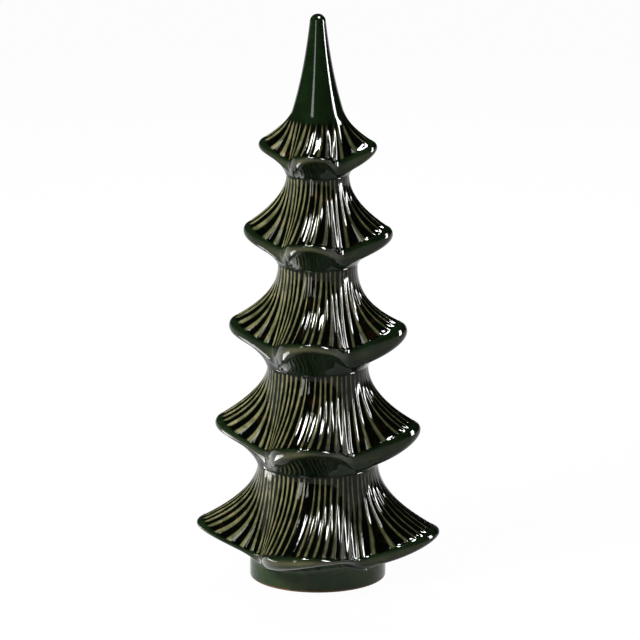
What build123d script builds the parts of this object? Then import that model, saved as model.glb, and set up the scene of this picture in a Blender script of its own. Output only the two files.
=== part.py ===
"""Ceramic Christmas tree: five fluted, four-lobed skirts and a foot, cast hollow and luted together.

Millimetres, Z up. The origin is the centre of the foot ring, on the table.
The lobe tips of every skirt point along X and Y.
"""
import os
from math import atan, cos, degrees, radians, sin
from typing import NamedTuple

from build123d import *

# Casting and luted joints
WALL = 5.0
SPIGOT_HEIGHT = 5.0
SPIGOT_WALL = 2.4
LUTING_GAP = 0.1
JOINT_NOTCH = 0.6

# Shape shared by the skirts
LOBES = 4
VALLEY_FLARE = 1.7
CREST_BAND_ANGLE = 4.7
FLUTE_DEPTH_RATIO = 0.4

# Foot
FOOT_RADIUS = 48.0
FOOT_HEIGHT = 13.0
FOOT_FLOOR = 5.0
FOOT_RECESS = 2.0
FOOT_RING_WIDTH = 7.0
FOOT_BEVEL = 1.2
VENT_RADIUS = 5.0

# Bottom skirt
BOTTOM_RISE = 69.5
BOTTOM_TIP_HEIGHT = 23.5
BOTTOM_TIP_RADIUS = 87.0
BOTTOM_VALLEY_RADIUS = 53.0
BOTTOM_HEM_DIP = 14.0
BOTTOM_RIM = 5.0
BOTTOM_NECK_RADIUS = 43.0
BOTTOM_FLARE = 2.0
BOTTOM_FLUTES = 8

# Lower skirt
LOWER_RISE = 70.5
LOWER_TIP_HEIGHT = 29.0
LOWER_TIP_RADIUS = 73.2
LOWER_VALLEY_RADIUS = 46.0
LOWER_HEM_DIP = 15.0
LOWER_RIM = 7.0
LOWER_NECK_RADIUS = 36.0
LOWER_FLARE = 2.0
LOWER_FLUTES = 7

# Middle skirt
MIDDLE_RISE = 72.5
MIDDLE_TIP_HEIGHT = 30.0
MIDDLE_TIP_RADIUS = 63.3
MIDDLE_VALLEY_RADIUS = 39.5
MIDDLE_HEM_DIP = 13.0
MIDDLE_RIM = 8.5
MIDDLE_NECK_RADIUS = 28.4
MIDDLE_FLARE = 2.3
MIDDLE_FLUTES = 6

# Upper skirt
UPPER_RISE = 63.0
UPPER_TIP_HEIGHT = 25.0
UPPER_TIP_RADIUS = 52.8
UPPER_VALLEY_RADIUS = 32.0
UPPER_HEM_DIP = 11.5
UPPER_RIM = 7.0
UPPER_NECK_RADIUS = 22.4
UPPER_FLARE = 2.0
UPPER_FLUTES = 5

# Top skirt and the spire on it
TOP_RISE = 45.5
TOP_TIP_HEIGHT = 22.0
TOP_TIP_RADIUS = 41.8
TOP_VALLEY_RADIUS = 25.5
TOP_HEM_DIP = 10.5
TOP_RIM = 5.5
TOP_FLARE = 2.0
TOP_FLUTES = 4
SPIRE_RADIUS = 17.4
SPIRE_HEIGHT = 66.0
SPIRE_FOOT_SLOPE = 0.3
SPIRE_TIP_RADIUS = 5.6
SPIRE_TIP_SLOPE = 0.12
SPIRE_BLEND = 0.1

# Heights of the lofted sections, as shares of the surface they draw
BELL_LEVELS = (0, 0.2, 0.4, 0.6, 0.8, 1)
HOLLOW_LEVELS = (0, 0.1, 0.35, 0.65, 1)
BELL_END = 0.6

# Points round each lobe of the smooth hem and of the hollow
HEM_POINTS = 8
HOLLOW_POINTS = 4


class Skirt(NamedTuple):
    """One fluted skirt, its heights measured from the joint under it."""

    base: float
    rise: float
    tip_height: float
    tip_radius: float
    valley_radius: float
    hem_dip: float
    rim: float
    seat_radius: float
    neck_radius: float
    flare: float
    flutes: int
    neck_slope: float = 0.0
    neck_flute: float = 1.0


def spigot_radius(joint_radius):
    """Outer radius of the locating ring inside a joint."""
    return joint_radius - JOINT_NOTCH - WALL + SPIGOT_WALL


def lobe_share(angle):
    """1 on the crest of a lobe, 0 in the valley between two; the angle is in degrees."""
    return (1 + cos(radians(LOBES * angle))) / 2


def hem_point(skirt, angle):
    """Radius and height of the upper edge of the hem."""
    share = lobe_share(angle)
    radius = skirt.valley_radius + (skirt.tip_radius - skirt.valley_radius) * share
    height = skirt.tip_height - skirt.hem_dip * (1 - share)
    return radius, height


def bell_radius(skirt, angle, height):
    """Radius of the concave upper side, which runs from the neck out through the hem."""
    hem_radius, hem_height = hem_point(skirt, angle)
    power = VALLEY_FLARE + (skirt.flare - VALLEY_FLARE) * lobe_share(angle)
    drop = skirt.rise - height
    full_drop = skirt.rise - hem_height
    spread = hem_radius - skirt.neck_radius - skirt.neck_slope * full_drop
    return skirt.neck_radius + skirt.neck_slope * drop + spread * (drop / full_drop) ** power


def underside_height(skirt, radius):
    """Height of the round underside: the hem dips in step with its radius, so its rim ends on a cone."""
    slope = skirt.hem_dip / (skirt.tip_radius - skirt.valley_radius)
    return skirt.tip_height - skirt.rim - slope * (skirt.tip_radius - radius)


def underside_radius(skirt, height):
    """Radius of the underside at a height, or of the collar under it."""
    slope = skirt.hem_dip / (skirt.tip_radius - skirt.valley_radius)
    rise = height - underside_height(skirt, skirt.seat_radius)
    return skirt.seat_radius + max(rise, 0) / slope


def hollow_radius(skirt, angle, height):
    """Radius of the hollow, a wall in from the rim and a wall clear of the top and the underside."""
    rim = hem_point(skirt, angle)[0]
    top = bell_radius(skirt, angle, min(height + WALL, skirt.rise))
    underside = underside_radius(skirt, height - WALL)
    return min(rim, top, underside) - WALL


def polar_point(angle, radius):
    """Plan point at an angle in degrees."""
    return radius * cos(radians(angle)), radius * sin(radians(angle))


def outline_points(radius_at, per_lobe):
    """Points round an outline whose radius depends on the angle."""
    step = 360 / (LOBES * per_lobe)
    angles = [index * step for index in range(LOBES * per_lobe)]
    return [polar_point(angle, radius_at(angle)) for angle in angles]


def fluted_points(skirt, height):
    """Points round the fluted outline: a plain band on each crest, then ridges and grooves."""
    pitch = (180 / LOBES - CREST_BAND_ANGLE) / (skirt.flutes - 0.5)
    fade = min(1, 2 * (skirt.rise - height) / (skirt.rise - skirt.tip_height))
    groove = FLUTE_DEPTH_RATIO * radians(pitch) * (skirt.neck_flute + (1 - skirt.neck_flute) * fade)
    half_lobe = []
    for flute in range(skirt.flutes):
        ridge_angle = CREST_BAND_ANGLE + flute * pitch
        half_lobe += [(ridge_angle, 0), (ridge_angle + pitch / 2, groove)]
    mirrored = [(-angle, depth) for angle, depth in reversed(half_lobe[:-1])]
    points = []
    for lobe in range(LOBES):
        for angle, depth in mirrored + [(0, 0)] + half_lobe:
            radius = bell_radius(skirt, angle, height) * (1 - depth)
            points.append(polar_point(angle + 360 / LOBES * lobe, radius))
    return points


def build_tier(skirt, crown, crown_bore):
    """Cast one skirt with what stands on its neck: fluted above, smooth and lobed below, hollow."""
    bell_end = (skirt.tip_height - skirt.hem_dip) * BELL_END
    crown_top = crown.part.bounding_box().max.Z

    with BuildPart() as hollow:
        for share in HOLLOW_LEVELS:
            height = skirt.rise * share
            with BuildSketch(Plane.XY.offset(skirt.base + height)):
                with BuildLine():
                    points = outline_points(lambda angle: hollow_radius(skirt, angle, height), HOLLOW_POINTS)
                    Polyline(*points, close=True)
                make_face()
        loft(ruled=True)
        with BuildSketch(Plane.XY.offset(skirt.base)):
            Circle(spigot_radius(skirt.seat_radius) + LUTING_GAP)
        extrude(amount=SPIGOT_HEIGHT + LUTING_GAP)
        add(crown_bore.part)

    with BuildPart() as body:
        with BuildSketch(Plane.XY.offset(skirt.base)):
            with BuildLine():
                Spline(*outline_points(lambda angle: hem_point(skirt, angle)[0], HEM_POINTS), periodic=True)
            make_face()
        extrude(amount=crown_top - skirt.base)
        reach = 2 * skirt.tip_radius
        with BuildSketch(Plane.XZ):
            with BuildLine():
                Polyline(
                    (0, skirt.base),
                    (skirt.seat_radius, skirt.base),
                    (skirt.seat_radius, skirt.base + underside_height(skirt, skirt.seat_radius)),
                    (reach, skirt.base + underside_height(skirt, reach)),
                    (reach, crown_top + reach),
                    (0, crown_top + reach),
                    close=True,
                )
            make_face()
        revolve(axis=Axis.Z, mode=Mode.INTERSECT)
        add(hollow.part, mode=Mode.SUBTRACT)

    with BuildPart() as tier:
        for share in BELL_LEVELS:
            height = bell_end + (skirt.rise - bell_end) * share
            with BuildSketch(Plane.XY.offset(skirt.base + height)):
                with BuildLine():
                    Polyline(*fluted_points(skirt, height), close=True)
                make_face()
        loft()
        with BuildSketch(Plane.XY.offset(skirt.base)):
            Circle(2 * skirt.tip_radius)
        extrude(amount=bell_end)
        add(crown.part)
        add(body.part, mode=Mode.INTERSECT)
    return tier


# Foot: a short round trunk with a floor, a firing vent and a bare foot ring
foot_bore = FOOT_RADIUS - JOINT_NOTCH - WALL
with BuildPart() as foot:
    with BuildSketch():
        Circle(FOOT_RADIUS)
    extrude(amount=FOOT_HEIGHT)
    chamfer(foot.edges().group_by(Axis.Z)[0], FOOT_BEVEL)
    with BuildSketch(Plane.XY.offset(FOOT_HEIGHT)):
        Circle(spigot_radius(FOOT_RADIUS))
    extrude(amount=SPIGOT_HEIGHT)
    with BuildSketch(Plane.XY.offset(FOOT_RECESS + FOOT_FLOOR)):
        Circle(foot_bore)
    extrude(amount=FOOT_HEIGHT + SPIGOT_HEIGHT, mode=Mode.SUBTRACT)
    with BuildSketch():
        Circle(FOOT_RADIUS - FOOT_RING_WIDTH)
    extrude(amount=FOOT_RECESS, mode=Mode.SUBTRACT)
    with BuildSketch():
        Circle(VENT_RADIUS)
    extrude(amount=FOOT_HEIGHT, mode=Mode.SUBTRACT)

# Skirts, each seated on the neck of the one below
bottom = Skirt(
    base=FOOT_HEIGHT,
    rise=BOTTOM_RISE,
    tip_height=BOTTOM_TIP_HEIGHT,
    tip_radius=BOTTOM_TIP_RADIUS,
    valley_radius=BOTTOM_VALLEY_RADIUS,
    hem_dip=BOTTOM_HEM_DIP,
    rim=BOTTOM_RIM,
    seat_radius=FOOT_RADIUS,
    neck_radius=BOTTOM_NECK_RADIUS - JOINT_NOTCH,
    flare=BOTTOM_FLARE,
    flutes=BOTTOM_FLUTES,
)
lower = Skirt(
    base=bottom.base + bottom.rise,
    rise=LOWER_RISE,
    tip_height=LOWER_TIP_HEIGHT,
    tip_radius=LOWER_TIP_RADIUS,
    valley_radius=LOWER_VALLEY_RADIUS,
    hem_dip=LOWER_HEM_DIP,
    rim=LOWER_RIM,
    seat_radius=BOTTOM_NECK_RADIUS,
    neck_radius=LOWER_NECK_RADIUS - JOINT_NOTCH,
    flare=LOWER_FLARE,
    flutes=LOWER_FLUTES,
)
middle = Skirt(
    base=lower.base + lower.rise,
    rise=MIDDLE_RISE,
    tip_height=MIDDLE_TIP_HEIGHT,
    tip_radius=MIDDLE_TIP_RADIUS,
    valley_radius=MIDDLE_VALLEY_RADIUS,
    hem_dip=MIDDLE_HEM_DIP,
    rim=MIDDLE_RIM,
    seat_radius=LOWER_NECK_RADIUS,
    neck_radius=MIDDLE_NECK_RADIUS - JOINT_NOTCH,
    flare=MIDDLE_FLARE,
    flutes=MIDDLE_FLUTES,
)
upper = Skirt(
    base=middle.base + middle.rise,
    rise=UPPER_RISE,
    tip_height=UPPER_TIP_HEIGHT,
    tip_radius=UPPER_TIP_RADIUS,
    valley_radius=UPPER_VALLEY_RADIUS,
    hem_dip=UPPER_HEM_DIP,
    rim=UPPER_RIM,
    seat_radius=MIDDLE_NECK_RADIUS,
    neck_radius=UPPER_NECK_RADIUS - JOINT_NOTCH,
    flare=UPPER_FLARE,
    flutes=UPPER_FLUTES,
)
top = Skirt(
    base=upper.base + upper.rise,
    rise=TOP_RISE,
    tip_height=TOP_TIP_HEIGHT,
    tip_radius=TOP_TIP_RADIUS,
    valley_radius=TOP_VALLEY_RADIUS,
    hem_dip=TOP_HEM_DIP,
    rim=TOP_RIM,
    seat_radius=UPPER_NECK_RADIUS,
    neck_radius=SPIRE_RADIUS - SPIRE_BLEND,
    flare=TOP_FLARE,
    flutes=TOP_FLUTES,
    neck_slope=SPIRE_FOOT_SLOPE,
    neck_flute=0.0,
)

# Jointed tiers: each carries a locating ring for the section above
tiers = {"bottom_tier": bottom, "lower_tier": lower, "middle_tier": middle, "upper_tier": upper}
castings = {"foot": foot}
for name, skirt in tiers.items():
    joint_plane = Plane.XY.offset(skirt.base + skirt.rise)
    with BuildPart() as spigot:
        with BuildSketch(joint_plane):
            Circle(spigot_radius(skirt.neck_radius + JOINT_NOTCH))
        extrude(amount=SPIGOT_HEIGHT)
    bore = skirt.neck_radius - WALL
    with BuildPart() as spigot_bore:
        with BuildSketch(joint_plane):
            with BuildLine():
                Polyline(*outline_points(lambda angle: bore, HOLLOW_POINTS), close=True)
            make_face()
        extrude(amount=SPIGOT_HEIGHT)
    castings[name] = build_tier(skirt, spigot, spigot_bore)

# Top tier: the smallest skirt runs up into a plain hollow spire with a round end
spire_base = top.base + top.rise
spire_top = spire_base + SPIRE_HEIGHT
with BuildPart() as spire:
    with BuildSketch(Plane.XZ):
        with BuildLine():
            cap = CenterArc(
                center=(0, spire_top - SPIRE_TIP_RADIUS),
                radius=SPIRE_TIP_RADIUS,
                start_angle=degrees(atan(SPIRE_TIP_SLOPE)),
                arc_size=90 - degrees(atan(SPIRE_TIP_SLOPE)),
            )
            Spline(
                (SPIRE_RADIUS, spire_base),
                cap @ 0,
                tangents=((-SPIRE_FOOT_SLOPE, 1), (-SPIRE_TIP_SLOPE, 1)),
            )
            Polyline((SPIRE_RADIUS, spire_base), (0, spire_base), (0, spire_top))
        make_face()
    revolve(axis=Axis.Z)
spire_bore_radius = top.neck_radius - WALL
with BuildPart() as spire_bore:
    for rise, radius in ((0, spire_bore_radius), (SPIRE_HEIGHT / 2, SPIRE_TIP_RADIUS / 2)):
        with BuildSketch(Plane.XY.offset(spire_base + rise)):
            with BuildLine():
                Polyline(*outline_points(lambda angle: radius, HOLLOW_POINTS), close=True)
            make_face()
    loft(ruled=True)
castings["spire_tier"] = build_tier(top, spire, spire_bore)

os.makedirs("parts", exist_ok=True)
for name, casting in castings.items():
    casting.part.label = name
    export_step(casting.part, f"parts/{name}.step")
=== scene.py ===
"""Glazed ceramic Christmas tree, dressed for the camera: metres, Z up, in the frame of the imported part."""
import math
from typing import NamedTuple

import bpy
import numpy as np
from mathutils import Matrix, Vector


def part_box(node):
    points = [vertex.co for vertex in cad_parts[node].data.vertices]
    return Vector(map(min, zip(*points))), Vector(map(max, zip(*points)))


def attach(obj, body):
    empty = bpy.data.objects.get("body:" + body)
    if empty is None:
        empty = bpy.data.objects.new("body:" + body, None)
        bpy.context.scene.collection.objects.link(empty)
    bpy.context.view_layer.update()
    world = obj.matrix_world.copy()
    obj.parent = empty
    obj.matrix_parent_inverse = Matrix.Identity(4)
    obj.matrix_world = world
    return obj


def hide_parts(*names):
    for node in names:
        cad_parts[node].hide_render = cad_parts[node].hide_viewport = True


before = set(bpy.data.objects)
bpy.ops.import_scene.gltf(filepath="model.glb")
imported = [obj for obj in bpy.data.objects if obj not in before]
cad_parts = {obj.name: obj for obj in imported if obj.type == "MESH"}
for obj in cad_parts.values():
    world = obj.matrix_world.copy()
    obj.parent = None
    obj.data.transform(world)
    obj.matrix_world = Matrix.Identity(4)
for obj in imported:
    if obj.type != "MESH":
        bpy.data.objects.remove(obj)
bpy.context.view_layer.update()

MM = 0.001
FIRST_SEED = 40

# Casting
WALL = 5.0 * MM
SPIGOT_HEIGHT = 5.0 * MM
SPIGOT_WALL = 2.4 * MM
JOINT_NOTCH = 0.6 * MM
EDGE = 0.2 * MM

# Lobes, hems and undersides of the skirts
LOBES = 4
HALF_LOBE = math.pi / LOBES
FRONT = 1.5 * math.pi
FRONT_WIDTH = math.radians(20)
DROOP_WIDTH = math.radians(26)
VALLEY_FLARE = 1.7
ROLL_START = 3.0 * MM
ROLL_INSET = 7.0 * MM
ROLL_INSET_SHARE = 0.6
ROLL_SAG = 0.15
ROLL_BULGE = 1.0 * MM
ROLL_FULLNESS = 0.8
COVE = 0.25
TUCK_REACH = 6.0 * MM

# A band along each crest, with a thin bright line in its middle
CREST_BAND = math.radians(4.7)
CREST_GROOVE = 0.55
CREST_EDGE_POWER = 6
CREST_LINE = 0.4
CREST_LINE_WIDTH = 0.25

# Flutes beside the bands, and the ridges between them
FLUTE_DEPTH = 0.15
FLUTE_WOBBLE = 0.16
WOBBLE_ONSET = (0.2, 0.8)
FLUTE_START = 0.8 * MM
FLUTE_LEAD = 1.6 * MM
SPIRE_FLUTE_START = (2.0 * MM, 14.0 * MM)
FLUTE_END = (0.5 * MM, 2.5 * MM)
FADED_FLUTE_END = (4.0 * MM, 10.0 * MM)
UNFADED_FRONT_WIDTH = 2.0 * FRONT_WIDTH
FLUTE_UNEVENNESS = 0.2
NECK_RELIEF = 0.15
RELIEF_ONSET = (6.0 * MM, 30.0 * MM)
RIDGE_SPACING = 2.7 * MM
RIDGE_GROWTH = 1.2
RIDGE_BLUNTEST = 1.1
RIDGE_SHARPEST = 2.0
RIDGE_PALENESS = 0.74
# Ridges painted paler on the left and darker on the right: painted light from the key lamp's side
RIDGE_LEFT_LIGHT_SWING = 0.26

# How the flutes turn and drift on their way down, with two places where the hand strayed: centre and shift
FLUTE_TURN = math.radians(2.3)
FLUTE_DRIFT = math.radians(-5.0)
FLUTE_GATHER = math.radians(-6.0)
STRAY_DRIFTS = ((math.radians(-110), math.radians(-5)), (math.radians(-28), math.radians(4)))
STRAY_WIDTH = math.radians(18)

# Unevenness of the whole surface
HAND_WOBBLE = 0.35 * MM
WOBBLE_MARGIN = 6.0 * MM

# Where the glaze is painted paler: along the roll of the hem, paler glaze on its edge with a painted
# highlight that is strongest on the front lobe, and by the foot, a lighter green that is painted bounce
# light from the floor
RIM_PLACE = 0.5
RIM_BAND = 0.15
RIM_SIDES = 0.25
RIM_SHIFT = 0.1
RIM_HIGHLIGHT_WIDTH = 1.5 * FRONT_WIDTH
FOOT_BOUNCE_ONSET = (0.1, 0.7)

# Spire
SPIRE_RADIUS = 17.4 * MM
SPIRE_HEIGHT = 66.0 * MM
SPIRE_FOOT_SLOPE = 0.3
SPIRE_TIP_RADIUS = 5.6 * MM
SPIRE_TIP_SLOPE = 0.12

# Foot
FOOT_HEIGHT = 13.0 * MM
FOOT_FLOOR = 5.0 * MM
FOOT_RECESS = 2.0 * MM
FOOT_RING_WIDTH = 7.0 * MM
FOOT_RING_BEVEL = 0.4 * MM
FOOT_EDGE = 1.6 * MM
BARE_HEIGHT = 1.5 * MM
VENT_RADIUS = 5.0 * MM

# Rows and columns of the meshes, the rows from the top down
SPIRE_ROWS = 60
SPIRE_FIRST_ROW = 0.004
SPIRE_ROW_SPREAD = 1.5
BELL_ROWS = 64
ROLL_ROWS = 26
UNDERSIDE_ROWS = 18
HOLLOW_ROWS = 8
ROLL = slice(BELL_ROWS, BELL_ROWS + ROLL_ROWS)
UNDERSIDE = slice(BELL_ROWS + ROLL_ROWS, None)
ROLL_SHARES = np.linspace(0, 1, ROLL_ROWS)[:, None]
UNDERSIDE_SHARES = np.linspace(0, 1, UNDERSIDE_ROWS + 1)[1:, None]
FLUTE_COLUMNS = 12
CREST_COLUMNS = 8
FOOT_COLUMNS = 256
FOOT_EDGE_ROWS = 9

# Glaze: scale and detail of its noises, its gloss, and how its marks set in
DRIFT_NOISE = (28.0, 3.0)
STREAK_NOISE = (140.0, 2.0)
RIPPLE_NOISE = (220.0, 2.0)
RIPPLE_STRENGTH = 0.10
RIPPLE_DISTANCE = 0.6 * MM
SPECULAR_LEVEL = 0.16
GLAZE_ROUGHNESS = 0.07
CLAY_ROUGHNESS = 0.75
# Paler glaze on the hem's roll, with a painted highlight strongest on the front lobe
RIM_GLAZE_AND_HIGHLIGHT = (0.110, 0.106, 0.050)
RIM_PATCHES = (0.2, 1.0)
GROOVE_ONSET = (0.05, 0.55)
RIDGE_ONSET = (0.28, 0.72)
WEAR_STRETCH = (0.3, 0.7)
WEAR_PATCHES = (0.55, 1.0)

# Studio: a floor a hair below the foot, and dim surroundings
FLOOR_HEIGHT = -0.1 * MM
FLOOR_REACH = 14.0
FLOOR_PAINT = (0.85, 0.85, 0.85, 1.0)
FLOOR_GLOW = (1.0, 1.0, 1.0, 1.0)
FLOOR_GLOW_SHARE = 0.975
SURROUNDINGS = (0.03, 0.032, 0.034, 1.0)
LAMP_AIM = Vector((0.0, 0.0, 0.2))
UP = Vector((0.0, 0.0, 1.0))

# Camera, as fitted to the photograph
IMAGE_SIZE = 640
SENSOR_WIDTH = 36.0
CAMERA_AZIMUTH = math.radians(10.0)
CAMERA_DISTANCE = 2.688
CAMERA_HEIGHT = 0.8113
CAMERA_PITCH = math.radians(13.13)
CAMERA_CLIP_END = 50.0
FOCAL_PIXELS = 3955.0
AXIS_COLUMN = 317.8


class Tier(NamedTuple):
    """Sizes of one skirt that its CAD box doesn't give, in metres, with heights from its seat."""

    node: str
    tip_height: float  # upper edge of the hem on a lobe
    hem_dip: float  # how much lower the hem runs in a valley
    valley_radius: float
    seat_radius: float
    neck_radius: float
    rim: float  # depth of the rolled rim
    rim_twist: float  # how much its depth differs on the flanks of a lobe
    front_rim: float  # how much deeper it is on the front lobe
    front_droop: float  # how much lower the front lobe hangs
    flare: float  # power of the upper side's curve on the lobes
    lean: float  # how much that power rises to the right and falls to the left
    flutes: int  # on each flank of a lobe
    collar: float = 0.4  # how far up the underside the round collar reaches
    tip_fade: float = 0.25  # how early the flutes run out above the lobes' tips
    tuck: float = 1.0  # how straight the front rim runs on into the underside
    neck_slope: float = 0.0
    spire: bool = False


TIERS = (
    Tier("bottom_tier", tip_height=23.5 * MM, hem_dip=14.0 * MM, valley_radius=53.0 * MM,
         seat_radius=48.0 * MM, neck_radius=43.0 * MM, rim=5.9 * MM, rim_twist=3.2 * MM,
         front_rim=2.0 * MM, front_droop=1.2 * MM, flare=2.05, lean=0.05, flutes=8,
         collar=0.7, tip_fade=0.2, tuck=0.0),
    Tier("lower_tier", tip_height=29.0 * MM, hem_dip=15.0 * MM, valley_radius=46.0 * MM,
         seat_radius=43.0 * MM, neck_radius=36.0 * MM, rim=10.5 * MM, rim_twist=4.0 * MM,
         front_rim=-2.5 * MM, front_droop=3.0 * MM, flare=1.95, lean=0.15, flutes=7),
    Tier("middle_tier", tip_height=30.0 * MM, hem_dip=13.0 * MM, valley_radius=39.5 * MM,
         seat_radius=36.0 * MM, neck_radius=28.4 * MM, rim=12.5 * MM, rim_twist=3.0 * MM,
         front_rim=-4.5 * MM, front_droop=3.0 * MM, flare=2.55, lean=0.3, flutes=6),
    Tier("upper_tier", tip_height=25.0 * MM, hem_dip=11.5 * MM, valley_radius=32.0 * MM,
         seat_radius=28.4 * MM, neck_radius=22.4 * MM, rim=11.0 * MM, rim_twist=1.0 * MM,
         front_rim=-4.5 * MM, front_droop=3.2 * MM, flare=2.0, lean=0.12, flutes=5),
    Tier("spire_tier", tip_height=22.0 * MM, hem_dip=10.5 * MM, valley_radius=25.5 * MM,
         seat_radius=22.4 * MM, neck_radius=SPIRE_RADIUS, rim=9.0 * MM, rim_twist=2.2 * MM,
         front_rim=-3.0 * MM, front_droop=4.0 * MM, flare=2.0, lean=0.1, flutes=4,
         neck_slope=SPIRE_FOOT_SLOPE, spire=True),
)


class Waviness(NamedTuple):
    """Unevenness of the hand: how many waves add up, and their rates per radian round and per metre up."""

    waves: int
    around: float
    up: float = 0.0


BEND_WAVES = Waviness(5, 11, 60)
START_WAVES = Waviness(3, 31)
DEPTH_WAVES = Waviness(4, 23, 40)
SURFACE_WAVES = Waviness(4, 5, 45)
RATE_SPREAD = (0.6, 1.6)


class Tint(NamedTuple):
    """A mottled colour: its dark and light ends, linear, and the stretch of noise that it runs over."""

    dark: tuple
    light: tuple
    stretch: tuple


BODY = Tint((0.0030, 0.0078, 0.0022), (0.0070, 0.0170, 0.0055), (0.35, 0.65))
# Lighter green of the foot: painted bounce light from the floor
FOOT_BOUNCE_GREEN = Tint((0.016, 0.038, 0.012), (0.028, 0.042, 0.013), (0.4, 0.6))
POOL = Tint((0.0005, 0.0010, 0.0004), (0.006, 0.0025, 0.0008), (0.55, 0.66))
TAN = Tint((0.098, 0.108, 0.044), (0.250, 0.240, 0.120), (0.35, 0.65))
CLAY = Tint((0.15, 0.075, 0.035), (0.21, 0.11, 0.055), (0.3, 0.7))


class Lamp(NamedTuple):
    """A soft box, its azimuth from the camera's, in degrees. Cards only reflect, the rest only light."""

    name: str
    azimuth: float
    distance: float
    height: float
    size: tuple
    radiance: float
    card: bool = False
    flat: bool = False


LAMPS = (
    Lamp("key", -50.0, 1.4, 1.2, (0.7, 0.7), 25.0),
    Lamp("fill", 50.0, 1.4, 1.2, (0.7, 0.7), 3.6),
    Lamp("back", 180.0, 1.4, 1.2, (0.7, 0.7), 12.0),
    Lamp("right_card", 86.0, 1.2, 0.42, (0.24, 0.66), 90.0, card=True),
    Lamp("high_card", 38.0, 0.34, 1.25, (0.34, 0.36), 180.0, card=True),
    Lamp("left_strip", -26.0, 1.3, 0.5, (0.24, 1.0), 15.0, card=True),
    Lamp("left_table", -95.0, 0.24, 0.01, (0.15, 0.15), 16.0, card=True, flat=True),
)


def smoothstep(low, high, value):
    """0 below low, 1 above high, eased between."""
    share = np.clip((value - low) / (high - low), 0.0, 1.0)
    return share * share * (3.0 - 2.0 * share)


def soft_noise(rng, waviness, angles, height):
    """Slow seeded waviness between about -1 and 1."""
    coordinates = [waviness.around * angles]
    if waviness.up:
        coordinates.append(waviness.up * height)
    total = 0.0
    for _ in range(waviness.waves):
        phase = rng.uniform(0, 2 * math.pi)
        total = total + np.sin(phase + sum(axis * rng.uniform(*RATE_SPREAD) for axis in coordinates))
    return np.tanh(total / math.sqrt(waviness.waves))


def falloff(angles, centre, width):
    """1 at the centre, falling off to both sides round the axis."""
    away = (angles - centre + math.pi) % (2 * math.pi) - math.pi
    return np.exp(-((away / width) ** 2))


def front_share(angles, width):
    """1 on the front lobe's crest, falling off to both sides."""
    return falloff(angles, FRONT, width)


def lobe_share(angles):
    """1 on the crest of a lobe, 0 in the valley between two."""
    return 0.5 + 0.5 * np.cos(LOBES * angles)


class SkirtShape:
    """The smooth surfaces of one skirt, its heights measured from its seat."""

    def __init__(self, tier):
        low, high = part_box(tier.node)
        self.tier = tier
        self.base = low.z
        self.tip_radius = high.y
        crown = SPIRE_HEIGHT if tier.spire else SPIGOT_HEIGHT
        self.rise = high.z - crown - low.z
        self.neck = tier.neck_radius - (0.0 if tier.spire else JOINT_NOTCH)

    def hem(self, angles):
        """Radius and height of the upper edge of the hem."""
        lobe = lobe_share(angles)
        radius = self.tier.valley_radius + (self.tip_radius - self.tier.valley_radius) * lobe
        droop = self.tier.front_droop * front_share(angles, DROOP_WIDTH)
        return radius, self.tier.tip_height - self.tier.hem_dip * (1 - lobe) - droop

    def bell(self, angles, height):
        """Radius of the concave upper side, which runs from the neck out through the hem."""
        lobe_flare = self.tier.flare - VALLEY_FLARE + self.tier.lean * np.cos(angles)
        power = VALLEY_FLARE + lobe_flare * lobe_share(angles)
        hem_radius, hem_height = self.hem(angles)
        drop = np.maximum(self.rise - height, 0.0)
        full_drop = self.rise - hem_height
        spread = hem_radius - self.neck - self.tier.neck_slope * full_drop
        return self.neck + self.tier.neck_slope * drop + spread * (drop / full_drop) ** power

    def rim(self, angles):
        """Depth of the rim, which differs on the two flanks of a lobe and on the front lobe."""
        front = self.tier.front_rim * front_share(angles, FRONT_WIDTH)
        return self.tier.rim - self.tier.rim_twist * np.sin(LOBES * angles) + front

    def tuck(self, angles):
        """How far the front lobe's rim runs straight on into its underside."""
        return self.tier.tuck * front_share(angles, DROOP_WIDTH)

    def roll(self, angles, share):
        """Radius and height of the rolled rim, from the upper side at 0 round to the underside at 1."""
        seat = self.tier.seat_radius
        hem_radius, hem_height = self.hem(angles)
        rim = self.rim(angles)
        start_height = hem_height + ROLL_START
        start_radius = self.bell(angles, start_height)
        end_radius = hem_radius - np.minimum(ROLL_INSET, ROLL_INSET_SHARE * (hem_radius - seat))
        end_height = hem_height - rim - ROLL_SAG * (hem_radius - end_radius)
        high_radius = hem_radius + (hem_radius - start_radius) / 2
        tuck = self.tuck(angles)
        inward = end_radius - seat
        reach = TUCK_REACH / np.hypot(inward, end_height)
        low_radius = (1 - tuck) * (hem_radius + ROLL_BULGE) + tuck * (end_radius + reach * inward)
        low_height = (1 - tuck) * (hem_height - ROLL_FULLNESS * rim) + tuck * (1 + reach) * end_height
        # A cubic curve from the start to the end, drawn out by a high and a low point
        rest = 1 - share
        start, high, low, end = rest**3, 3 * rest**2 * share, 3 * rest * share**2, share**3
        radius = start * start_radius + high * high_radius + low * low_radius + end * end_radius
        height = start * start_height + high * hem_height + low * low_height + end * end_height
        return radius, height

    def underside(self, angles, end_radius, end_height, share):
        """Radius and height of the underside, which coves in to the round collar and down to the seat."""
        seat = self.tier.seat_radius
        collar = self.tier.collar
        tuck = self.tuck(angles)
        # With a full tuck the curve's middle point lies halfway, so that the underside is straight
        cove_out = (1 - tuck) * COVE * (1 - collar) + 0.5 * tuck
        cove_radius = seat + cove_out * (end_radius - seat)
        cove_height = ((1 - tuck) * collar + 0.5 * tuck) * end_height
        start, middle, end = (1 - share) ** 2, 2 * (1 - share) * share, share**2
        radius = start * end_radius + middle * cove_radius + end * seat
        return radius, start * end_height + middle * cove_height

    def inside(self, angles, height):
        """Radius of the hollow, a wall in from the upper side and the underside."""
        hem_radius, hem_height = self.hem(angles)
        upper = self.bell(angles, np.minimum(height + WALL, self.rise))
        climb = np.clip((height - WALL) / (hem_height - WALL), 0.0, 1.0)
        lower = self.tier.seat_radius + (hem_radius - self.tier.seat_radius) * climb
        return np.minimum(upper, lower) - WALL


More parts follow.
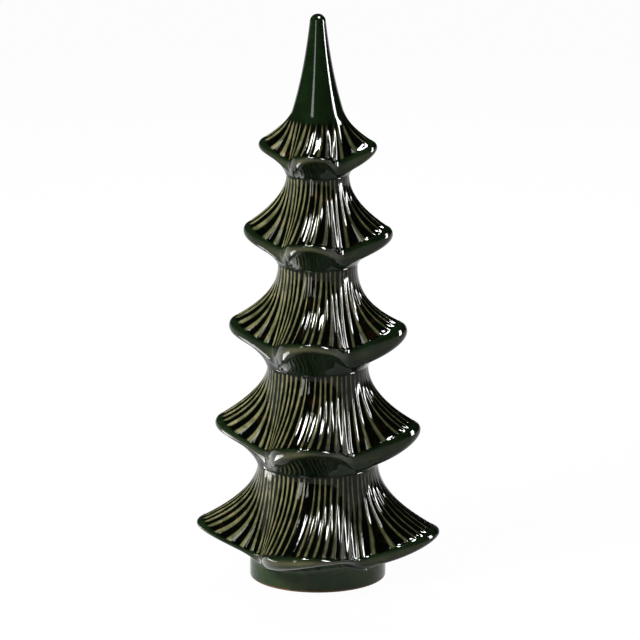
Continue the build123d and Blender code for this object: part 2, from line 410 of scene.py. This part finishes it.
def spire_radius(height):
    """Radius of the plain spire at a height above its foot."""
    full = SPIRE_HEIGHT - SPIRE_TIP_RADIUS
    share = np.clip(height / full, 0.0, 1.0)
    side = SPIRE_RADIUS + (SPIRE_TIP_RADIUS - SPIRE_RADIUS) * smoothstep(0.0, full, height)
    side = side - SPIRE_FOOT_SLOPE * full * share * (1 - share) ** 2
    side = side + SPIRE_TIP_SLOPE * full * share * share * (1 - share)
    over = np.clip((height - full) / SPIRE_TIP_RADIUS, 0.0, 1.0)
    return side * np.sqrt(np.maximum(1.0 - over * over, 0.0))


def grid_faces(rows, columns):
    """Quads of a grid that wraps round its columns and over its rows."""
    row, column = np.meshgrid(np.arange(rows), np.arange(columns), indexing="ij")
    below = (row + 1) % rows
    beside = (column + 1) % columns
    corners = [row * columns + column, below * columns + column,
               below * columns + beside, row * columns + beside]
    return np.stack(corners, axis=-1).reshape(-1, 4)


def grid_object(name, grid, marks):
    """A smooth-shaded object from a grid of points and per-point numbers that its material reads."""
    mesh = bpy.data.meshes.new(name)
    mesh.from_pydata(grid.reshape(-1, 3).tolist(), [], grid_faces(*grid.shape[:2]).tolist())
    for mark, values in marks.items():
        attribute = mesh.attributes.new(mark, "FLOAT", "POINT")
        attribute.data.foreach_set("value", values.ravel().astype(np.float32))
    mesh.polygons.foreach_set("use_smooth", [True] * len(mesh.polygons))
    mesh.update()
    piece = bpy.data.objects.new(name, mesh)
    bpy.context.scene.collection.objects.link(piece)
    return piece


def around(angles, radius, height):
    """Grid of points at angles round the axis, with a radius and a height for each row or point."""
    radius = radius * np.ones_like(angles)
    return np.stack([radius * np.cos(angles), radius * np.sin(angles), height + 0.0 * radius], axis=-1)


def surface_normals(points):
    """Outward normals of a grid of points that runs down its rows and round its columns."""
    down = np.gradient(points, axis=0)
    beside = np.roll(points, -1, axis=1) - np.roll(points, 1, axis=1)
    normal = np.cross(down, beside)
    return normal / np.linalg.norm(normal, axis=-1, keepdims=True)


def flute_drift(angles):
    """How far round the flutes have drifted by the hem."""
    drift = FLUTE_DRIFT + FLUTE_GATHER * np.sin(LOBES * angles)
    for centre, shift in STRAY_DRIFTS:
        drift = drift + shift * falloff(angles, centre, STRAY_WIDTH)
    return drift


def flute_wave(from_crest, count, spacing):
    """Share of the full depth and of the full brightness, over the crest's band and the flutes beside it."""
    on_band = np.clip(np.abs(from_crest) / CREST_BAND, 0, 1)
    band_line = CREST_LINE * np.exp(-((on_band / CREST_LINE_WIDTH) ** 2))
    band_bright = np.maximum(on_band**CREST_EDGE_POWER, band_line)
    band_wave = CREST_GROOVE * np.sin(math.pi * on_band) ** 2
    sharpness = np.clip((spacing / RIDGE_SPACING) ** RIDGE_GROWTH, RIDGE_BLUNTEST, RIDGE_SHARPEST)
    ridge = (0.5 + 0.5 * np.cos(2 * math.pi * count)) ** sharpness
    beside = count > 0
    return np.where(beside, 1.0 - ridge, band_wave), np.where(beside, ridge, band_bright)


def flute_strength(tier, rng, angles, drop, above_hem):
    """1 where the flutes are in full, easing to 0 at the neck and at the hem."""
    if tier.spire:
        begin = smoothstep(*SPIRE_FLUTE_START, drop)
    else:
        start = FLUTE_START + FLUTE_START * soft_noise(rng, START_WAVES, angles, drop)
        begin = smoothstep(start - FLUTE_START, start + FLUTE_LEAD, drop)
    fade = tier.tip_fade * lobe_share(angles) ** 2 * (1.0 - front_share(angles, UNFADED_FRONT_WIDTH))
    low, high = (near + faded * fade for near, faded in zip(FLUTE_END, FADED_FLUTE_END))
    return begin * smoothstep(low, high, above_hem)


def flute_pattern(shape, rng, angles, radius, height):
    """Depth of the grooves, and marks for how strongly each point is a groove or a ridge, the ridges painted
    paler on the left and darker on the right as painted light from the key lamp's side.
    """
    tier = shape.tier
    drop = shape.rise - height
    above_hem = height - shape.hem(angles)[1]
    above_hem[ROLL] = np.minimum(above_hem[ROLL], ROLL_START)
    above_hem[UNDERSIDE] = 0.0
    descent = np.clip(drop / np.maximum(drop + above_hem, MM), 0.0, 1.0) ** 2
    start_angle = angles - FLUTE_TURN - descent * flute_drift(angles)
    start_angle = angles - FLUTE_TURN - descent * flute_drift(start_angle)
    from_crest = (start_angle + HALF_LOBE) % (2 * HALF_LOBE) - HALF_LOBE
    pitch = (HALF_LOBE - CREST_BAND) / (tier.flutes - 0.5)
    count = (np.abs(from_crest) - CREST_BAND) / pitch
    bend = soft_noise(rng, BEND_WAVES, start_angle, height)
    count = count + FLUTE_WOBBLE * bend * smoothstep(*WOBBLE_ONSET, count)
    spacing = pitch * radius
    wave, bright = flute_wave(from_crest, count, spacing)
    strength = flute_strength(tier, rng, angles, drop, above_hem)
    uneven = 1.0 + FLUTE_UNEVENNESS * soft_noise(rng, DEPTH_WAVES, start_angle, height)
    relief = NECK_RELIEF + (1 - NECK_RELIEF) * smoothstep(*RELIEF_ONSET, drop)
    depth = FLUTE_DEPTH * spacing * wave * strength * uneven * relief
    # Painted light: ridges paler on the left, where the key lamp shines, and darker on the right
    paleness_and_left_light = RIDGE_PALENESS - RIDGE_LEFT_LIGHT_SWING * np.cos(angles)
    return depth, {"groove": strength * (1.0 - bright), "ridge": strength * bright * paleness_and_left_light}


def pale_marks(tier, angles, rows):
    """Marks for how strongly each point is the paler roll of the hem, paler glaze on its edge with a painted
    highlight strongest on the front lobe, or the lighter green by the foot, which is painted bounce light
    from the floor.
    """
    rim = np.zeros((rows, len(angles)))
    # Painted highlight along the roll, strongest on the front lobe, over paler glaze on the whole edge
    front = RIM_SIDES + (1 - RIM_SIDES) * front_share(angles + RIM_SHIFT, RIM_HIGHLIGHT_WIDTH)
    rim[ROLL] = front * np.exp(-(((ROLL_SHARES - RIM_PLACE) / RIM_BAND) ** 2))
    foot = np.zeros_like(rim)
    # Painted bounce light from the floor: lighter green up the underside to the foot
    if tier.node == "bottom_tier":
        seat_share = UNDERSIDE_SHARES[-1:]
        shares = np.concatenate([UNDERSIDE_SHARES, seat_share, seat_share])
        foot[UNDERSIDE] = smoothstep(*FOOT_BOUNCE_ONSET, shares)
    return {"rim": rim, "foot": foot}


def skirt_rows(shape, angles):
    """Radii and heights of the outer rows, from the neck over the hem and the underside to the seat."""
    upper = np.linspace(0, 1, BELL_ROWS, endpoint=False)[:, None]
    bell_height = shape.rise + (shape.hem(angles)[1] + ROLL_START - shape.rise) * upper
    bell_radius = shape.bell(angles, bell_height)
    roll_radius, roll_height = shape.roll(angles, ROLL_SHARES)
    under_radius, under_height = shape.underside(angles, roll_radius[-1], roll_height[-1], UNDERSIDE_SHARES)
    seat = np.full((1, len(angles)), shape.tier.seat_radius)
    level = np.zeros_like(seat)
    radius = np.concatenate([bell_radius, roll_radius, under_radius[:-1], seat, seat, seat - EDGE])
    height = np.concatenate([bell_height, roll_height, under_height[:-1], level + EDGE, level, level])
    return radius * np.minimum(1.0, shape.tip_radius / radius.max()), height


def hollow_points(shape, angles):
    """The hollow inside a skirt, from its seat up to its neck."""
    height = np.linspace(0, shape.rise, HOLLOW_ROWS)[:, None]
    return around(angles, shape.inside(angles, height), shape.base + height)


def spire_points(shape, angles):
    """The plain spire, from its tip down to the top of its skirt."""
    spread = np.linspace(SPIRE_FIRST_ROW, 1, SPIRE_ROWS, endpoint=False) ** SPIRE_ROW_SPREAD
    height = SPIRE_HEIGHT * (1 - spread)[:, None]
    foot = shape.base + shape.rise
    side = around(angles, spire_radius(height), foot + height)
    tip = np.broadcast_to([0.0, 0.0, foot + SPIRE_HEIGHT], side[:1].shape)
    return np.concatenate([tip, side])


def build_tier(tier, seed):
    """One skirt section: fluted outside, rounded hem, smooth underside and the hollow inside."""
    shape = SkirtShape(tier)
    rng = np.random.default_rng(seed)
    columns = 2 * LOBES * (FLUTE_COLUMNS * tier.flutes + CREST_COLUMNS)
    angles = np.arange(columns) * 2 * math.pi / columns
    radius, height = skirt_rows(shape, angles)
    depth, marks = flute_pattern(shape, rng, angles, radius, height)
    marks.update(pale_marks(tier, angles, len(height)))
    wobble = HAND_WOBBLE * (0.5 + 0.5 * soft_noise(rng, SURFACE_WAVES, angles, height))
    inner = smoothstep(0.0, WOBBLE_MARGIN, height) * smoothstep(0.0, WOBBLE_MARGIN, shape.rise - height)
    points = around(angles, radius, shape.base + height)
    points = points - surface_normals(points) * (depth + wobble * inner)[..., None]

    above = spire_points(shape, angles) if tier.spire else points[:0]
    inside = hollow_points(shape, angles)
    grid = np.concatenate([above, points, inside])
    padding = ((len(above), len(inside)), (0, 0))
    marks = {mark: np.pad(values, padding) for mark, values in marks.items()}
    return grid_object(tier.node + "_glazed", grid, marks)


def build_foot():
    """The round foot: glazed wall, bare foot ring, recessed floor with its firing vent."""
    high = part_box("foot")[1]
    radius = high.y
    bore = radius - JOINT_NOTCH - WALL
    ring = radius - FOOT_RING_WIDTH
    floor_top = FOOT_RECESS + FOOT_FLOOR
    profile = [(bore, high.z), (bore + SPIGOT_WALL, high.z), (bore + SPIGOT_WALL, FOOT_HEIGHT)]
    profile += [(radius - EDGE, FOOT_HEIGHT), (radius, FOOT_HEIGHT), (radius, FOOT_HEIGHT - EDGE)]
    profile += [(radius, FOOT_EDGE + (FOOT_HEIGHT - FOOT_EDGE) * share) for share in (0.8, 0.6, 0.4, 0.2)]
    profile += [(radius - FOOT_EDGE + FOOT_EDGE * math.cos(turn), FOOT_EDGE - FOOT_EDGE * math.sin(turn))
                for turn in np.linspace(0, math.pi / 2, FOOT_EDGE_ROWS)]
    profile += [(ring + FOOT_RING_BEVEL, 0.0), (ring, FOOT_RING_BEVEL), (ring, FOOT_RECESS)]
    profile += [(ring * share + VENT_RADIUS * (1 - share), FOOT_RECESS) for share in (0.75, 0.5, 0.25, 0.0)]
    profile += [(VENT_RADIUS * share + bore * (1 - share), floor_top) for share in (1.0, 0.66, 0.33, 0.0)]
    outline = np.array(profile)
    angles = np.arange(FOOT_COLUMNS) * 2 * math.pi / FOOT_COLUMNS
    grid = around(angles, outline[:, :1], outline[:, 1:])
    bare = (outline[:, 1] < BARE_HEIGHT) | (outline[:, 0] <= ring)
    # The whole foot takes the lighter green of painted bounce light from the floor
    marks = {"bare": np.repeat(bare.astype(float), FOOT_COLUMNS), "foot": np.ones(grid.shape[:2])}
    return grid_object("foot_glazed", grid, marks)


def math_node(tree, operation, first, second):
    """Output of a node that combines an output with another output or a number."""
    node = tree.nodes.new("ShaderNodeMath")
    node.operation = operation
    tree.links.new(first, node.inputs[0])
    if isinstance(second, float):
        node.inputs[1].default_value = second
    else:
        tree.links.new(second, node.inputs[1])
    return node.outputs["Value"]


def glaze_material():
    """Green glaze: dark where it pools, paler on rims with a painted highlight strongest on the front lobe,
    tan on ridges and painted lighter on their left side, a lighter green on the foot as painted bounce light
    from the floor, with bare clay under the foot.
    """
    material = bpy.data.materials.new("green_glaze")
    material.use_nodes = True
    tree = material.node_tree
    nodes = tree.nodes
    links = tree.links
    place = nodes.new("ShaderNodeTexCoord").outputs["Object"]

    def mark(name):
        node = nodes.new("ShaderNodeAttribute")
        node.attribute_name = name
        return node.outputs["Fac"]

    def noise(scale, detail):
        node = nodes.new("ShaderNodeTexNoise")
        node.inputs["Scale"].default_value = scale
        node.inputs["Detail"].default_value = detail
        links.new(place, node.inputs["Vector"])
        return node.outputs["Fac"]

    def ramp(source, low, high, low_value=0.0, high_value=1.0):
        node = nodes.new("ShaderNodeMapRange")
        node.inputs["From Min"].default_value = low
        node.inputs["From Max"].default_value = high
        node.inputs["To Min"].default_value = low_value
        node.inputs["To Max"].default_value = high_value
        links.new(source, node.inputs["Value"])
        return node.outputs["Result"]

    def times(first, second):
        return math_node(tree, "MULTIPLY", first, second)

    def mix(factor, first, second):
        node = nodes.new("ShaderNodeMix")
        node.data_type = "RGBA"
        links.new(factor, node.inputs["Factor"])
        for value, socket in ((first, node.inputs["A"]), (second, node.inputs["B"])):
            if isinstance(value, tuple):
                socket.default_value = (*value, 1.0)
            else:
                links.new(value, socket)
        return node.outputs["Result"]

    def mottle(source, tint):
        return mix(ramp(source, *tint.stretch), tint.dark, tint.light)

    drift = noise(*DRIFT_NOISE)
    streak = noise(*STREAK_NOISE)
    bare = mark("bare")
    # Rim mark: paler glaze on the roll with a painted highlight, most on the front lobe
    rim_paleness_and_highlight = times(mark("rim"), ramp(drift, *BODY.stretch, *RIM_PATCHES))
    # Tan of the ridges where the glaze breaks, with painted light that makes them paler on the left
    ridge_tan_and_left_light = times(ramp(mark("ridge"), *RIDGE_ONSET), ramp(drift, *WEAR_STRETCH, *WEAR_PATCHES))
    colour = mottle(drift, BODY)
    colour = mix(rim_paleness_and_highlight, colour, RIM_GLAZE_AND_HIGHLIGHT)
    # Painted bounce light from the floor: the foot and the underside by it in lighter green
    colour = mix(mark("foot"), colour, mottle(streak, FOOT_BOUNCE_GREEN))
    colour = mix(ramp(mark("groove"), *GROOVE_ONSET), colour, mottle(streak, POOL))
    colour = mix(ridge_tan_and_left_light, colour, mottle(streak, TAN))
    colour = mix(bare, colour, mottle(streak, CLAY))

    ripple = nodes.new("ShaderNodeBump")
    ripple.inputs["Strength"].default_value = RIPPLE_STRENGTH
    ripple.inputs["Distance"].default_value = RIPPLE_DISTANCE
    links.new(noise(*RIPPLE_NOISE), ripple.inputs["Height"])
    shader = nodes["Principled BSDF"]
    shader.inputs["Specular IOR Level"].default_value = SPECULAR_LEVEL
    links.new(colour, shader.inputs["Base Color"])
    links.new(ramp(bare, 0.0, 1.0, GLAZE_ROUGHNESS, CLAY_ROUGHNESS), shader.inputs["Roughness"])
    links.new(ripple.outputs["Normal"], shader.inputs["Normal"])
    return material


def floor_material():
    """White to the camera and in reflections, but for a faint shadow, and white paint to the light."""
    material = bpy.data.materials.new("floor_white")
    material.use_nodes = True
    tree = material.node_tree
    tree.nodes.clear()
    path = tree.nodes.new("ShaderNodeLightPath")
    seen = math_node(tree, "MAXIMUM", path.outputs["Is Camera Ray"], path.outputs["Is Glossy Ray"])
    seen = math_node(tree, "MAXIMUM", seen, path.outputs["Is Transmission Ray"])
    paint = tree.nodes.new("ShaderNodeBsdfDiffuse")
    paint.inputs["Color"].default_value = FLOOR_PAINT
    glow = tree.nodes.new("ShaderNodeEmission")
    glow.inputs["Color"].default_value = FLOOR_GLOW
    blend = tree.nodes.new("ShaderNodeMixShader")
    tree.links.new(math_node(tree, "MULTIPLY", seen, FLOOR_GLOW_SHARE), blend.inputs["Fac"])
    tree.links.new(paint.outputs["BSDF"], blend.inputs[1])
    tree.links.new(glow.outputs["Emission"], blend.inputs[2])
    output = tree.nodes.new("ShaderNodeOutputMaterial")
    tree.links.new(blend.outputs["Shader"], output.inputs["Surface"])
    return material


def build_camera():
    """The photograph's long lens, a little above the tree."""
    data = bpy.data.cameras.new("camera")
    data.sensor_fit = "HORIZONTAL"
    data.sensor_width = SENSOR_WIDTH
    data.lens = FOCAL_PIXELS / IMAGE_SIZE * SENSOR_WIDTH
    data.shift_x = (IMAGE_SIZE / 2 - AXIS_COLUMN) / IMAGE_SIZE
    data.clip_end = CAMERA_CLIP_END
    camera = bpy.data.objects.new("camera", data)
    camera.location = (CAMERA_DISTANCE * math.sin(CAMERA_AZIMUTH),
                       -CAMERA_DISTANCE * math.cos(CAMERA_AZIMUTH), CAMERA_HEIGHT)
    camera.rotation_euler = (math.pi / 2 - CAMERA_PITCH, 0.0, CAMERA_AZIMUTH)
    bpy.context.scene.collection.objects.link(camera)
    bpy.context.scene.camera = camera


def build_lamp(lamp):
    """A soft box that faces the tree, or lies flat on the table and faces up."""
    width, length = lamp.size
    data = bpy.data.lights.new(lamp.name, "AREA")
    data.shape = "RECTANGLE"
    data.size = width
    data.size_y = length
    data.energy = lamp.radiance * math.pi * width * length
    light = bpy.data.objects.new(lamp.name, data)
    turn = CAMERA_AZIMUTH + math.radians(lamp.azimuth)
    light.location = (lamp.distance * math.sin(turn), -lamp.distance * math.cos(turn), lamp.height)
    aim = UP if lamp.flat else LAMP_AIM - light.location
    light.rotation_euler = aim.to_track_quat("-Z", "Y").to_euler()
    light.visible_camera = False
    light.visible_diffuse = not lamp.card
    light.visible_glossy = lamp.card
    bpy.context.scene.collection.objects.link(light)


def build_floor():
    """The studio floor."""
    mesh = bpy.data.meshes.new("floor")
    corners = ((-1, -1), (1, -1), (1, 1), (-1, 1))
    points = [(FLOOR_REACH * x, FLOOR_REACH * y, FLOOR_HEIGHT) for x, y in corners]
    mesh.from_pydata(points, [], [(0, 1, 2, 3)])
    mesh.materials.append(floor_material())
    floor = bpy.data.objects.new("floor", mesh)
    bpy.context.scene.collection.objects.link(floor)


def build_studio():
    """White floor, dim surroundings and soft boxes."""
    build_floor()
    world = bpy.data.worlds.new("studio")
    world.use_nodes = True
    world.node_tree.nodes["Background"].inputs["Color"].default_value = SURROUNDINGS
    bpy.context.scene.world = world
    bpy.context.scene.view_settings.view_transform = "Standard"
    for lamp in LAMPS:
        build_lamp(lamp)


glaze = glaze_material()
for seed, tier in enumerate(TIERS, FIRST_SEED):
    piece = build_tier(tier, seed)
    piece.data.materials.append(glaze)
    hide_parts(tier.node)
    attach(piece, "root")
foot = build_foot()
foot.data.materials.append(glaze)
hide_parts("foot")
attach(foot, "root")
build_camera()
build_studio()
